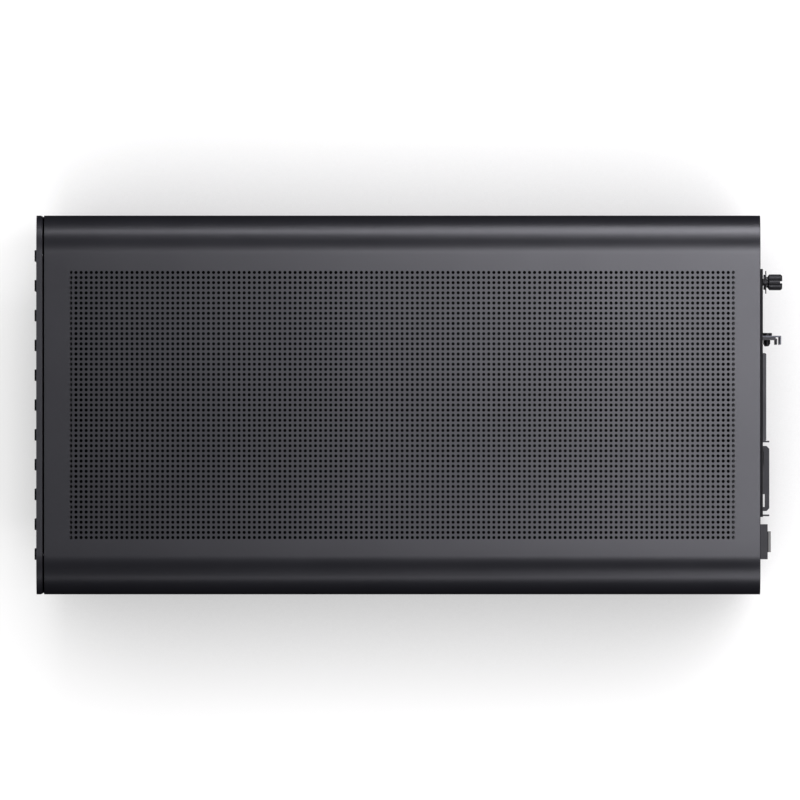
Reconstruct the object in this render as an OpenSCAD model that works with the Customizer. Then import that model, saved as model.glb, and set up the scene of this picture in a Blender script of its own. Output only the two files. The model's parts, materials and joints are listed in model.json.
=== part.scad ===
/* [Case] */
// Width of the case over both side panels
case_w = 186; // [176:1:210]
// Height of the case from the floor to the top cover
case_h = 295; // [290:1:330]
// Length of the shell from the front seam to the rear edge
shell_l = 351.6; // [335:0.1:400]
// Outer radius of the four long edges
edge_r = 19; // [14:0.5:22]
// Thickness of the outer covers
skin_t = 1.2; // [0.8:0.1:1.6]
// Thickness of the inner frame's sheet
frame_t = 1; // [0.8:0.1:1.4]
// Gap between a cover and the frame inside it
skin_gap = 0.3; // [0.2:0.05:0.5]
// Straight side below each rounded edge, down to the side panel's seam
seam_drop = 2; // [1:0.5:6]
// Width of the seam beside a side panel
seam_w = 0.5; // [0.3:0.1:1]
// Depth of the folded rim round the front and rear plates
rim_d = 12; // [10:0.5:16]
/* [Front panel] */
// Thickness of the front panel
panel_t = 3; // [2:0.1:4]
// Gap between the front panel and the shell
front_seam = 0.7; // [0.4:0.1:1.2]
// Chamfer on the front panel's back edge
panel_chamfer = 0.8; // [0.2:0.1:1.2]
// Number of vertical ribs
rib_n = 11; // [5:1:11]
// Distance from one rib to the next
rib_pitch = 14.65; // [9:0.05:15]
// Width of a rib
rib_w = 5.6; // [3:0.1:7]
// Height of a rib over the panel's face
rib_h = 1; // [0.5:0.1:2]
// Lower end of the ribs above the body's underside
rib_foot = 46; // [44:1:80]
/* [Top cover] */
// Distance between the air holes
hole_pitch = 10; // [8:0.5:16]
// Diameter of an air hole
hole_d = 6; // [3:0.1:6.5]
// Length of the perforated field
field_l = 325; // [200:5:330]
// Width of the perforated field
field_w = 130; // [80:5:132]
// Width of the tongue folded down at the rear
tongue_w = 121.7; // [110:0.1:130]
// Shift of the tongue's middle to the left side
tongue_y = 5.9; // [0:0.1:8]
// Height of the tongue
tongue_h = 13; // [11:0.5:14]
// Width of the finger grip on the tongue
grip_w = 43.2; // [30:0.1:50]
// Thickness of the finger grip
grip_t = 1.65; // [1:0.05:3]
/* [Feet] */
// Height of a foot
foot_h = 15; // [12:0.5:20]
// Diameter of a foot at the floor
foot_d = 24; // [18:1:28]
// Distance between the feet along the case
foot_span = 300; // [280:1:310]
// Distance between the feet across the case
foot_gauge = 134; // [132:1:138]
/* [Mainboard] */
// Height of the board's face over the case's right side
board_face = 16.4; // [16:0.1:22]
// Height of a standoff
standoff_h = 6.5; // [5:0.5:8]
// Board's top edge below the top of the case
board_drop = 23.5; // [23:0.5:30]
/* [Rear openings] */
// Number of expansion slots
slot_n = 4; // [2:1:4]
// Distance between the expansion slots
slot_pitch = 20.32; // [19.5:0.01:20.32]
// Height of the slot covers' shelf over the board's face
shelf_rise = 109.5; // [104:0.1:112]
// Reach of the shelf behind the rear wall
shelf_reach = 10; // [9:0.1:11]
// Thickness of the shelf, a slot cover and the clamp
tab_t = 0.7; // [0.5:0.05:1]
// Distance between a fan's screw holes
fan_screws = 105; // [100:0.5:110]
// Diameter of a fan's screw hole
fan_hole_d = 4.5; // [3.5:0.1:5]
/* [Thumbscrew] */
// Distance of the thumbscrew from the middle of the case
thumb_y = 60.2; // [56:0.1:61]
// Diameter of the knurled head
thumb_d = 7.8; // [6:0.1:9]
// Length of the knurled head
thumb_l = 7; // [5:0.1:8]
// Diameter of the shank
shank_d = 3.4; // [2.5:0.1:4]
/* [Inlet and switch] */
// Width of the inlet's face
inlet_w = 32.4; // [30:0.1:34]
// Distance of the inlet's middle to the right of the middle of the case
inlet_y = 36.6; // [34:0.1:38]
// Height of the inlet's face
inlet_h = 20; // [18:0.1:20.5]
// Reach of the inlet behind the shell
inlet_out = 6.9; // [6.2:0.1:8]
// Width of the mains switch
switch_w = 17.4; // [14:0.1:18]
// Distance of the switch's middle to the right of the middle of the case
switch_y = 68.1; // [66:0.1:70]
// Reach of the switch's frame behind the shell
switch_out = 6.1; // [4:0.1:7]
/* [Front connections] */
// Height of the row of front connections over the body's underside
ports_z = 26; // [24:0.5:30]
// Diameter of the power button
button_d = 12; // [9:0.5:14]
// Travel of the power button
button_travel = 1.2; // [0.5:0.1:1.5]
/* [Hidden] */
eps = 0.01;
// Places along the case: the box round the whole case is centred on the origin
thumb_out = 3.7;
clamp_reach = shelf_reach + 1.3;
rear_reach = max(thumb_out + thumb_l, clamp_reach + tab_t, inlet_out);
total_l = rib_h + panel_t + front_seam + shell_l + rear_reach;
panel_x = -total_l / 2 + rib_h;
front_x = panel_x + panel_t + front_seam;
rear_x = front_x + shell_l;
wall_out = rear_x - 0.2;
wall_in = wall_out - frame_t;
half_w = case_w / 2;
inset = skin_t + skin_gap;
// Places up the case
body_z = foot_h;
top_in = case_h - skin_t;
top_seam = case_h - edge_r - seam_drop;
base_seam = body_z + edge_r + seam_drop;
flat_w = case_w - 2 * edge_r;
// Tray and mainboard
board_y = -half_w + board_face;
board_t = 1.6;
tray_y = board_y - board_t - standoff_h;
board_top = case_h - board_drop;
hole_edge = 10.16;
hole_top = 6.35;
board_cols = [0, 154.94, 227.33];
board_rows = [0, 157.48, 203.2];
tap_r = 1.45;
hole_x = wall_in - 2 - hole_edge;
hole_z = board_top - hole_top;
standoff_d = 5.5;
standoff_stud_d = 3.5;
fit_gap = 0.2;
run_gap = 0.05;
screw_hole_d = 3.2;
// Expansion slots
slot_drop = 162.3;
slot_first = board_top - slot_drop;
slot_open_w = 12.6;
cover_w = 18.4;
shelf_y = board_y + shelf_rise;
lip_h = 3;
screw_x = rear_x + 5.2;
slot_screw_r = 1.45;
clamp_out_x = rear_x + clamp_reach + tab_t;
slots_low = slot_first - (slot_n - 1) * slot_pitch - cover_w / 2;
slots_high = slot_first + cover_w / 2;
// Aperture for the board's own connectors
io_w = 158.75;
io_h = 44.45;
io_top = board_top + 7.5;
io_low_y = board_y - 3.8;
// Rear fan field
fan_gap = 61.5;
fan_drop = 74;
fan_y = io_low_y + io_h + fan_gap;
fan_z = io_top - fan_drop;
fan_vent_r = 55;
vent_pitch = 9;
vent_d = 6.4;
// Studs and clips that hold the covers
ball_r = 1.7;
neck_r = 1.2;
stud_l = 4.6;
clip_hole_r = 2.1;
clip_r = 2.9;
clip_t = 2.6;
stud_z = [base_seam + 14, top_seam - 14];
stud_x = [front_x + rim_d / 2 + frame_t / 2, rear_x - rim_d / 2 - frame_t / 2];
front_stud_y = half_w - 20;
front_stud_z = [body_z + 12, case_h - 12];
rail_w = 7;
rail_in = flat_w / 2 - rail_w;
rail_x0 = front_x + frame_t + rim_d;
rail_x1 = wall_in - rim_d;
cover_stud_y = rail_in + 4;
cover_stud_x = [rail_x0 + 20, rail_x1 - 20];
flange_d = 4.5;
// Inlet, switch
mains_z = body_z + inset + frame_t + 0.5 + inlet_h / 2;
inlet_depth = 18;
inlet_border = 2;
inlet_chamfer = 1.4;
socket_w = 24;
socket_h = 13.2;
socket_back = 3;
switch_h = inlet_h - 1;
switch_border = 1.5;
rocker_tilt = 8;
rocker_r = 6.4;
rocker_w = 10.4;
rocker_x = rear_x + switch_out - 3.2;
// Thumbscrew and tongue
thumb_z = top_in - tongue_h + 6.5;
washer_t = 0.5;
washer_r = 5.6;
collar_t = 0.9;
collar_r = 3.7;
notch_w = shank_d + 0.8;
// Bottom filter and its runners
filter_l = 230;
filter_w = 104;
filter_t = 1.6;
filter_z = body_z - 2.2;
runner_t = 1;
runner_gap = 0.1;
mesh_t = 0.5;
frame_w = 7;
// Front connections
io_x = panel_x + panel_t + 0.3;
io_d = 15;
io_case_w = 116;
io_case_h = 18;
io_z = body_z + ports_z;
button_y = 44;
usb_a_y = 14;
usb_c_y = -12;
jack_y = -38;
usb_a_size = [13.2, 5.8];
usb_c_size = [9, 3.3];
jack_r = 3.2;
board_x = io_x + io_d - 2.4;
switch_t = 3.4;
// Power supply: its end face, the plate's edge round it and its screw holes from one corner
psu_w = 150;
psu_d = 86;
psu_border = 8;
psu_setback = 46;
psu_drop = 20;
psu_flange = 14;
psu_x = front_x + psu_setback;
psu_z = case_h - edge_r - psu_drop - psu_w;
psu_hole_r = 2;
psu_holes = [[80, 6], [80, 144], [16, 6], [6, 144]];
// Bench for one flat drive
drive_x = -72;
drive_y = -10;
drive_l = 100;
drive_w = 84;
drive_h = 14;
drive_holes = [76.6, 61.72];
drive_hole_r = 1.75;
drive_ear = 11;
// Outline of the case across its length, drawn inside the outer skin by a given inset
module case_outline(by) {
    r = edge_r - by;
    w = case_w - 2 * by;
    h = case_h - body_z - 2 * by;
    translate([-w / 2, body_z + by + r]) square([w, h - 2 * r]);
    translate([-w / 2 + r, body_z + by]) square([w - 2 * r, h]);
    for (side = [-1, 1], up = [0, 1])
        translate([side * (w / 2 - r), up ? case_h - by - r : body_z + by + r]) circle(r = r, $fn = 96);
}
// Extrudes an outline drawn across the case along its length
module along(x, l) {
    translate([x, 0, 0]) rotate([90, 0, 90]) linear_extrude(l) children();
}
// Box between two corners
module span(a, b) {
    translate(a) cube(b - a);
}
// Straight round bar or hole along the case from one place to another
module rod_x(x0, x1, y, z, r, fn = 32) {
    translate([x0, y, z]) rotate([0, 90, 0]) cylinder(r = r, h = x1 - x0, $fn = fn);
}
// Straight round bar or hole across the case
module rod_y(x, y0, y1, z, r, fn = 32) {
    translate([x, y1, z]) rotate([90, 0, 0]) cylinder(r = r, h = y1 - y0, $fn = fn);
}
// Stadium outline, its round ends above one another
module stadium(w, h) {
    translate([-w / 2, -h / 2 + w / 2]) square([w, h - w]);
    for (up = [-1, 1]) translate([0, up * (h / 2 - w / 2)]) circle(d = w, $fn = 32);
}
// Ball stud that points up from its root
module stud() {
    cylinder(r = neck_r, h = stud_l - ball_r, $fn = 24);
    translate([0, 0, stud_l - ball_r]) sphere(r = ball_r, $fn = 24);
}
// Plastic ring that grips a stud's ball, its face on the sheet it is set in
module clip_ring() {
    difference() {
        cylinder(r = clip_r, h = clip_t, $fn = 32);
        translate([0, 0, -1]) cylinder(r = clip_hole_r, h = clip_t + 2, $fn = 32);
    }
}
// Places of the studs on a side panel, and of the clips behind them
module side_places(side) {
    for (x = stud_x, z = stud_z) translate([x, side * (half_w - skin_t), z]) rotate([side * 90, 0, 0])
        children();
}
module front_places() {
    for (s = [-1, 1], z = front_stud_z) translate([panel_x + panel_t, s * front_stud_y, z])
        rotate([0, 90, 0]) children();
}
module cover_places() {
    for (s = [-1, 1], x = cover_stud_x) translate([x, s * cover_stud_y, top_in]) rotate([180, 0, 0])
        children();
}
module rib() {
    rib_l = case_h - edge_r - body_z - rib_foot;
    translate([panel_x + eps, 0, body_z + rib_foot + rib_l / 2]) rotate([90, 0, -90])
        linear_extrude(rib_h + eps) stadium(rib_w, rib_l);
}
// Openings for the front connections in a given outline gap
module port_holes(x0, x1, gap) {
    rod_x(x0, x1, button_y, io_z, button_d / 2 + gap, 48);
    rod_x(x0, x1, jack_y, io_z, jack_r + gap, 32);
    for (p = [[usb_a_y, usb_a_size], [usb_c_y, usb_c_size]])
        span([x0, p[0] - p[1][0] / 2 - gap, io_z - p[1][1] / 2 - gap], [x1, p[0] + p[1][0] / 2 + gap,
            io_z + p[1][1] / 2 + gap]);
}
module front_panel() {
    color("#33343a") difference() {
        union() {
            along(panel_x, panel_t - panel_chamfer) case_outline(0);
            along(panel_x + panel_t - panel_chamfer - eps, panel_chamfer + eps) case_outline(panel_chamfer);
            for (i = [0:rib_n - 1]) translate([0, (i - (rib_n - 1) / 2) * rib_pitch, 0]) rib();
        }
        port_holes(panel_x - 1, panel_x + panel_t + 1, fit_gap);
    }
}
module front_panel_studs() {
    color("silver") front_places() stud();
}
// Plate with a rim folded back all round, as wide as the shell inside
module rimmed_plate(x, rim_dir) {
    x0 = rim_dir > 0 ? x : x - rim_d;
    difference() {
        along(x0, rim_d + frame_t) case_outline(inset);
        along(rim_dir > 0 ? x + frame_t : x - rim_d - 1, rim_d + 1) case_outline(inset + frame_t);
    }
}
module front_frame() {
    window_w = flat_w - 34;
    color("#232428") difference() {
        rimmed_plate(front_x, 1);
        span([front_x - 1, -window_w / 2, io_z + 30], [front_x + frame_t + 1, window_w / 2, case_h - 40]);
        span([front_x - 1, -io_case_w / 2 - fit_gap, io_z - io_case_h / 2 - fit_gap],
            [front_x + frame_t + 1, io_case_w / 2 + fit_gap, io_z + io_case_h / 2 + fit_gap]);
        front_places() cylinder(r = clip_hole_r, h = 4, $fn = 32);
        for (s = [-1, 1]) side_places(s) cylinder(r = clip_hole_r, h = 4, $fn = 32);
    }
}
module vent_rows() {
    steps = floor(fan_vent_r / vent_pitch);
    for (i = [-steps:steps], j = [-steps:steps])
        if (norm([i, j]) * vent_pitch < fan_vent_r - vent_d / 2)
            translate([fan_y + i * vent_pitch, fan_z + j * vent_pitch]) circle(d = vent_d, $fn = 24);
}
// Block along the case at the height of the inlet and the switch
module mains_block(x0, x1, y, w, h) {
    span([x0, y - w / 2, mains_z - h / 2], [x1, y + w / 2, mains_z + h / 2]);
}
module rear_panel() {
    shelf_low = slots_low - 1;
    shelf_high = slots_high + 1;
    color("#232428") difference() {
        union() {
            rimmed_plate(wall_in, -1);
            span([wall_in, shelf_y - tab_t, shelf_low], [rear_x + shelf_reach, shelf_y, shelf_high]);
            span([rear_x + shelf_reach - tab_t, shelf_y - lip_h, shelf_low], [rear_x + shelf_reach,
                shelf_y, shelf_high]);
        }
        span([wall_in - 1, io_low_y, io_top - io_w], [rear_x + 1, io_low_y + io_h, io_top]);
        for (i = [0:slot_n - 1])
            span([wall_in - 1, board_y + 5, slot_first - i * slot_pitch - slot_open_w / 2],
                [wall_out + 1, shelf_y - tab_t - 3, slot_first - i * slot_pitch + slot_open_w / 2]);
        span([wall_in - 1, shelf_y, shelf_low], [wall_out + 0.5, shelf_y + 3.2, shelf_high]);
        for (i = [0:slot_n - 1])
            rod_y(screw_x, shelf_y - 2, shelf_y + 1, slot_first - i * slot_pitch,
                slot_screw_r + run_gap, 24);
        along(wall_in - 1, frame_t + 2) vent_rows();
        for (a = [-1, 1], b = [-1, 1])
            rod_x(wall_in - 1, wall_out + 1, fan_y + a * fan_screws / 2, fan_z + b * fan_screws / 2,
                fan_hole_d / 2);
        mains_block(wall_in - 1, wall_out + 1, -inlet_y, inlet_w - 2 * inlet_border,
            inlet_h - 2 * inlet_border);
        mains_block(wall_in - 1, wall_out + 1, -switch_y, switch_w - 2 * switch_border,
            switch_h - 2 * switch_border);
        rod_x(wall_in - 1, wall_out + 1, thumb_y, thumb_z, shank_d / 2 + run_gap);
        for (s = [-1, 1]) side_places(s) cylinder(r = clip_hole_r, h = 4, $fn = 32);
    }
}
module base_pan() {
    color("#232428") difference() {
        union() {
            along(front_x, shell_l) intersection() {
                difference() {
                    case_outline(0);
                    case_outline(skin_t);
                }
                translate([-half_w - 1, body_z - 1]) square([case_w + 2, base_seam - body_z + 1]);
            }
            for (s = [-1, 1]) {
                span([-filter_l / 2, min(s * (filter_w / 2 + 0.5), s * (filter_w / 2 + 1.5)),
                    filter_z - filter_t - runner_t - runner_gap],
                    [filter_l / 2, max(s * (filter_w / 2 + 0.5), s * (filter_w / 2 + 1.5)), body_z + eps]);
                span([-filter_l / 2, min(s * (filter_w / 2 - 3), s * (filter_w / 2 + 1)),
                    filter_z - filter_t - runner_t - runner_gap],
                    [filter_l / 2, max(s * (filter_w / 2 - 3), s * (filter_w / 2 + 1)),
                        filter_z - filter_t - runner_gap]);
            }
        }
        for (i = [-9:9], j = [-4:4])
            translate([i * 11, j * 10, body_z - 1]) linear_extrude(skin_t + 2) rotate(90) stadium(4.5, 8.5);
        for (sx = [-1, 1], sy = [-1, 1])
            translate([sx * foot_span / 2, sy * foot_gauge / 2, body_z - 1])
                cylinder(d = screw_hole_d, h = skin_t + 2, $fn = 24);
    }
}
module motherboard_tray() {
    z0 = body_z + edge_r;
    z1 = case_h - edge_r;
    window = [120, 100];
    window_x = hole_x - 35;
    window_z = hole_z - 20;
    color("#232428") difference() {
        span([front_x + frame_t, tray_y - frame_t, z0], [wall_in, tray_y, z1]);
        span([window_x - window[0], tray_y - frame_t - 1, window_z - window[1]], [window_x, tray_y + 1,
            window_z]);
        for (z = [z0 + 30, (z0 + z1) / 2, z1 - 50]) translate([front_x + 72, tray_y + 1, z])
            rotate([90, 0, 0]) linear_extrude(frame_t + 2) stadium(18, 52);
        for (cx = board_cols, rz = board_rows)
            rod_y(hole_x - cx, tray_y - frame_t - 1, tray_y + 1, hole_z - rz,
                standoff_stud_d / 2 + run_gap, 32);
    }
}
module standoffs() {
    color("#b08d4a") for (cx = board_cols, rz = board_rows)
        translate([hole_x - cx, tray_y, hole_z - rz]) rotate([-90, 0, 0]) difference() {
            union() {
                cylinder(d = standoff_d, h = standoff_h, $fn = 6);
                translate([0, 0, -frame_t]) cylinder(d = standoff_stud_d, h = frame_t + eps, $fn = 32);
            }
            translate([0, 0, 1.5]) cylinder(r = tap_r, h = standoff_h, $fn = 24);
        }
}
// Angle rail under the edge of the top cover
module top_rail(side) {
    color("#232428") difference() {
        union() {
            span([rail_x0, min(side * rail_in, side * (rail_in + rail_w)), top_in - frame_t], [rail_x1,
                max(side * rail_in, side * (rail_in + rail_w)), top_in]);
            span([rail_x0, min(side * rail_in, side * (rail_in + frame_t)), top_in - 12], [rail_x1,
                max(side * rail_in, side * (rail_in + frame_t)), top_in - eps]);
        }
        cover_places() cylinder(r = clip_hole_r, h = 4, $fn = 32);
    }
}
module top_rail_left() {
    top_rail(1);
}
module top_rail_right() {
    top_rail(-1);
}
module cover_holes() {
    nx = floor(field_l / hole_pitch / 2);
    ny = floor(field_w / hole_pitch / 2);
    for (i = [-nx:nx], j = [-ny:ny])
        translate([front_x + shell_l / 2 + i * hole_pitch, j * hole_pitch]) circle(d = hole_d, $fn = 24);
}
module top_cover() {
    color("#4b4c50") difference() {
        union() {
            along(front_x, shell_l) intersection() {
                difference() {
                    case_outline(0);
                    case_outline(skin_t);
                }
                translate([-half_w - 1, top_seam]) square([case_w + 2, case_h - top_seam + 1]);
            }
            translate([rear_x - eps, tongue_y + tongue_w / 2, 0]) rotate([90, 0, 0])
                linear_extrude(tongue_w) {
                translate([0, top_in - tongue_h]) square([skin_t + eps, tongue_h]);
                intersection() {
                    translate([eps, top_in]) circle(r = skin_t, $fn = 48);
                    translate([0, top_in - eps]) square([skin_t + 1, skin_t + 1]);
                }
            }
        }
        translate([0, 0, top_in - 1]) linear_extrude(skin_t + 2) cover_holes();
        span([rear_x - 1, thumb_y - notch_w / 2, thumb_z - tongue_h], [rear_x + skin_t + 1,
            thumb_y + notch_w / 2, thumb_z]);
        rod_x(rear_x - 1, rear_x + skin_t + 1, thumb_y, thumb_z, notch_w / 2);
    }
}
module cover_studs() {
    color("silver") cover_places() stud();
}
module cover_grip() {
    r = 0.8;
    y0 = tongue_y - 2 - grip_w / 2;
    color("#3a3b3f") translate([rear_x + skin_t, 0, top_in - tongue_h + 1]) linear_extrude(tongue_h - 2) {
        translate([0, y0]) square([grip_t - r, grip_w]);
        translate([0, y0 + r]) square([grip_t, grip_w - 2 * r]);
        for (y = [y0 + r, y0 + grip_w - r]) translate([grip_t - r, y]) circle(r = r, $fn = 32);
    }
}
module top_filter_frame() {
    w = 2 * rail_in - 1;
    l = rail_x1 - rail_x0 - 4;
    color("#1a1a1c") translate([(rail_x0 + rail_x1) / 2, 0, top_in - 1 - skin_gap]) difference() {
        translate([-l / 2, -w / 2, 0]) cube([l, w, 1]);
        translate([-l / 2 + frame_w, -w / 2 + frame_w, -1]) cube([l - 2 * frame_w, w - 2 * frame_w, 3]);
    }
}
module top_filter_mesh() {
    w = 2 * rail_in - 1 - 2 * frame_w;
    l = rail_x1 - rail_x0 - 4 - 2 * frame_w;
    color("#101012") translate([(rail_x0 + rail_x1) / 2 - l / 2, -w / 2, top_in - mesh_t - skin_gap])
        cube([l, w, mesh_t]);
}
// Flat side panel with a short return along its upper and lower edges
module side_panel(side) {
    z0 = base_seam + seam_w;
    z1 = top_seam - seam_w;
    y = half_w - skin_t;
    color("#3d3e42") mirror([0, side < 0 ? 1 : 0, 0]) {
        span([front_x, y, z0], [rear_x, half_w, z1]);
        for (z = [z0, z1 - frame_t])
            span([front_x + rim_d + 3, y - flange_d, z], [rear_x - rim_d - 3, y + eps, z + frame_t]);
    }
}
module left_panel() {
    side_panel(1);
}
module right_panel() {
    side_panel(-1);
}
module left_panel_studs() {
    color("silver") side_places(1) stud();
}
module right_panel_studs() {
    color("silver") side_places(-1) stud();
}
module panel_clips() {
    color("#151517") {
        for (s = [-1, 1]) side_places(s) translate([0, 0, skin_gap + frame_t]) clip_ring();
        front_places() translate([0, 0, front_seam + frame_t]) clip_ring();
        cover_places() translate([0, 0, frame_t]) clip_ring();
    }
}
// Upright plate that carries the power supply, with a foot folded along the tray
module psu_bracket() {
    top = psu_w + 2 * psu_border;
    window_low = [18, 20];
    window_edge = 4;
    color("#232428") difference() {
        union() {
            span([psu_x, tray_y, psu_z], [psu_x + frame_t, tray_y + psu_d + 2 * psu_border, psu_z + top]);
            span([psu_x, tray_y, psu_z], [psu_x + psu_flange, tray_y + frame_t, psu_z + top]);
        }
        span([psu_x - 1, tray_y + window_low[0], psu_z + window_low[1]],
            [psu_x + frame_t + 1, tray_y + psu_d - window_edge, psu_z + psu_w - window_edge]);
        for (p = psu_holes)
            rod_x(psu_x - 1, psu_x + frame_t + 1, tray_y + psu_border + p[0], psu_z + psu_border + p[1],
                psu_hole_r, 24);
    }
}
module drive_places() {
    edge = 6;
    for (x = [edge, drive_l - edge], y = [-1, 1])
        translate([drive_x + x - drive_l / 2, drive_y + y * (drive_w + drive_ear - frame_t) / 2,
            body_z + skin_t]) children();
}
// Low bench over the intake that holds one flat drive
module drive_bracket() {
    vent_r = 15;
    color("#232428") translate([drive_x, drive_y, body_z + skin_t]) difference() {
        union() {
            translate([-drive_l / 2, -drive_w / 2, drive_h - frame_t]) cube([drive_l, drive_w, frame_t]);
            for (s = [-1, 1]) {
                translate([-drive_l / 2, s * (drive_w - frame_t) / 2 - frame_t / 2, 0])
                    cube([drive_l, frame_t, drive_h]);
                translate([-drive_l / 2, s * (drive_w + drive_ear - 2 * frame_t) / 2 - drive_ear / 2,
                    0]) cube([drive_l, drive_ear, frame_t]);
            }
        }
        for (a = [-1, 1], b = [-1, 1])
            translate([a * drive_holes[0] / 2, b * drive_holes[1] / 2, drive_h - 2])
                cylinder(r = drive_hole_r, h = 4, $fn = 24);
        translate([0, 0, drive_h - 2]) cylinder(r = vent_r, h = 4, $fn = 48);
        translate([-drive_x, -drive_y, -body_z - skin_t]) drive_places() translate([0, 0, -1])
            cylinder(d = screw_hole_d, h = 4, $fn = 24);
    }
}
module drive_bracket_screws() {
    color("silver") drive_places() {
        translate([0, 0, frame_t]) cylinder(r = 2.8, h = 1.6, $fn = 24);
        translate([0, 0, eps]) cylinder(r = 1.5, h = frame_t, $fn = 24);
    }
}
// Blank for one expansion slot: a plate inside the rear wall and a tab over the shelf
module slot_cover(i) {
    z = slot_first - i * slot_pitch;
    vent = [3, 8];
    vent_step = 8;
    color("#2a2b2f") if (i < slot_n) difference() {
        union() {
            span([wall_in - tab_t, board_y - 3, z - cover_w / 2], [wall_in, shelf_y + tab_t,
                z + cover_w / 2]);
            span([wall_in - tab_t, shelf_y, z - cover_w / 2], [rear_x + shelf_reach - tab_t,
                shelf_y + tab_t, z + cover_w / 2]);
        }
        rod_y(screw_x, shelf_y - 1, shelf_y + 2, z, slot_screw_r + fit_gap, 24);
        for (k = [0:9]) translate([wall_in - tab_t - 1, board_y + 17 + k * vent_step, z])
            rotate([90, 0, 90]) linear_extrude(tab_t + 2) stadium(vent[0], vent[1]);
    }
}
module slot_cover_1() {
    slot_cover(0);
}
module slot_cover_2() {
    slot_cover(1);
}
module slot_cover_3() {
    slot_cover(2);
}
module slot_cover_4() {
    slot_cover(3);
}
module slot_clamp() {
    z0 = slots_low;
    z1 = slots_high;
    y = shelf_y + tab_t;
    color("#6a6b6f") difference() {
        union() {
            span([rear_x + 0.4, y, z0], [clamp_out_x, y + tab_t, z1]);
            span([clamp_out_x - tab_t, y - lip_h - tab_t, z0], [clamp_out_x, y + eps, z1]);
        }
        for (i = [0:slot_n - 1])
            rod_y(screw_x, y - 1, y + 2, slot_first - i * slot_pitch, slot_screw_r + fit_gap, 24);
    }
}
module slot_screws() {
    color("#1c1c1e") for (i = [0:slot_n - 1])
        translate([screw_x, shelf_y + 2 * tab_t, slot_first - i * slot_pitch]) rotate([90, 0, 0])
            difference() {
        union() {
            translate([0, 0, -1.4]) cylinder(r = 2.35, h = 1.4, $fn = 32);
            cylinder(r = slot_screw_r, h = 4, $fn = 24);
            translate([0, 0, 4]) cylinder(r1 = slot_screw_r, r2 = 0.7, h = 1.2, $fn = 24);
        }
        for (a = [0, 90]) rotate(a) translate([-1.4, -0.25, -2]) cube([2.8, 0.5, 1.3]);
    }
}
// Knurled screw that holds the top cover's tongue
module thumbscrew() {
    head = rear_x + thumb_out;
    r = thumb_d / 2;
    color("#1a1a1c") translate([0, thumb_y, thumb_z]) rotate([0, 90, 0]) difference() {
        union() {
            translate([0, 0, wall_in - 4]) cylinder(d = shank_d, h = head - wall_in + 4 + eps, $fn = 32);
            translate([0, 0, head - 0.7]) cylinder(r = r - 1.2, h = 0.8, $fn = 32);
            translate([0, 0, head]) cylinder(r1 = r - 0.7, r2 = r, h = 0.7, $fn = 36);
            translate([0, 0, head + 0.7]) cylinder(r = r, h = thumb_l - 1.4, $fn = 36);
            translate([0, 0, head + thumb_l - 0.7]) cylinder(r1 = r, r2 = r - 0.7, h = 0.7, $fn = 36);
        }
        for (k = [0:17]) rotate(k * 20 + 5) translate([r + 0.2, 0, head - 0.5])
            cylinder(r = 0.5, h = thumb_l + 1, $fn = 6);
        for (a = [0, 90]) rotate(a) translate([-r - 1, -0.5, head + thumb_l - 1]) cube([2 * r + 2, 1, 2]);
    }
}
module thumbscrew_washer() {
    x = rear_x + skin_t + 0.3;
    color("#4a4b4f") difference() {
        union() {
            rod_x(x, x + collar_t + eps, thumb_y, thumb_z, collar_r, 32);
            rod_x(x + collar_t, x + collar_t + washer_t, thumb_y, thumb_z, washer_r, 48);
        }
        rod_x(x - 1, x + 3, thumb_y, thumb_z, shank_d / 2 + run_gap);
    }
}
// Mains inlet with a hollow for the plug
module inlet_housing() {
    x1 = rear_x + inlet_out;
    pocket = [4, 6.6, 2.4];
    slot = [1.2, 6.4];
    color("#1b1b1d") difference() {
        union() {
            mains_block(wall_in - inlet_depth, wall_out + eps, -inlet_y,
                inlet_w - 2 * inlet_border - 2 * fit_gap, inlet_h - 2 * inlet_border - 2 * fit_gap);
            translate([0, -inlet_y, mains_z - inlet_h / 2]) linear_extrude(inlet_h) polygon([
                [wall_out, -inlet_w / 2], [x1 - inlet_chamfer, -inlet_w / 2],
                    [x1, -inlet_w / 2 + inlet_chamfer],
                [x1, inlet_w / 2 - inlet_chamfer], [x1 - inlet_chamfer, inlet_w / 2],
                    [wall_out, inlet_w / 2]]);
        }
        mains_block(wall_in - inlet_depth + socket_back, x1 + 1, -inlet_y, socket_w, socket_h);
        translate([wall_out + 0.4, -inlet_y + 6.9, mains_z + inlet_h / 2 - pocket[2]])
            cube([pocket[0], pocket[1], pocket[2] + 1]);
        translate([rear_x + 3.6, -inlet_y - 14.2, mains_z - inlet_h / 2 - 1])
            cube([slot[0], slot[1], inlet_h + 2]);
        pin_blades();
    }
}
module pin_blades() {
    blade = [2, 4];
    for (p = [[-7, -1.5], [0, 1.5], [7, -1.5]])
        span([wall_in - inlet_depth - 6, -inlet_y + p[0] - blade[0] / 2, mains_z + p[1] - blade[1] / 2],
            [rear_x + 1, -inlet_y + p[0] + blade[0] / 2, mains_z + p[1] + blade[1] / 2]);
}
module inlet_pins() {
    color("#c8c8c8") pin_blades();
}
// Two thin ears beside the inlet, joined behind the wall
module inlet_bracket() {
    w = inlet_w + 4.3;
    color("#2c2d31") for (s = [-1, 1])
        span([wall_out, -inlet_y + s * w / 2 - 0.4, mains_z - inlet_h / 2 + 1], [rear_x + inlet_out,
            -inlet_y + s * w / 2 + 0.4, mains_z + inlet_h / 2 - 1]);
}
module switch_frame() {
    x1 = rear_x + switch_out;
    color("#19191b") difference() {
        union() {
            mains_block(wall_in - 10, wall_out + eps, -switch_y,
                switch_w - 2 * switch_border - 2 * fit_gap, switch_h - 2 * switch_border - 2 * fit_gap);
            mains_block(wall_out, x1, -switch_y, switch_w, switch_h);
        }
        mains_block(wall_in - 6, x1 + 1, -switch_y, rocker_w + 0.6, 2 * rocker_r + 1.2);
    }
}
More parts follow.
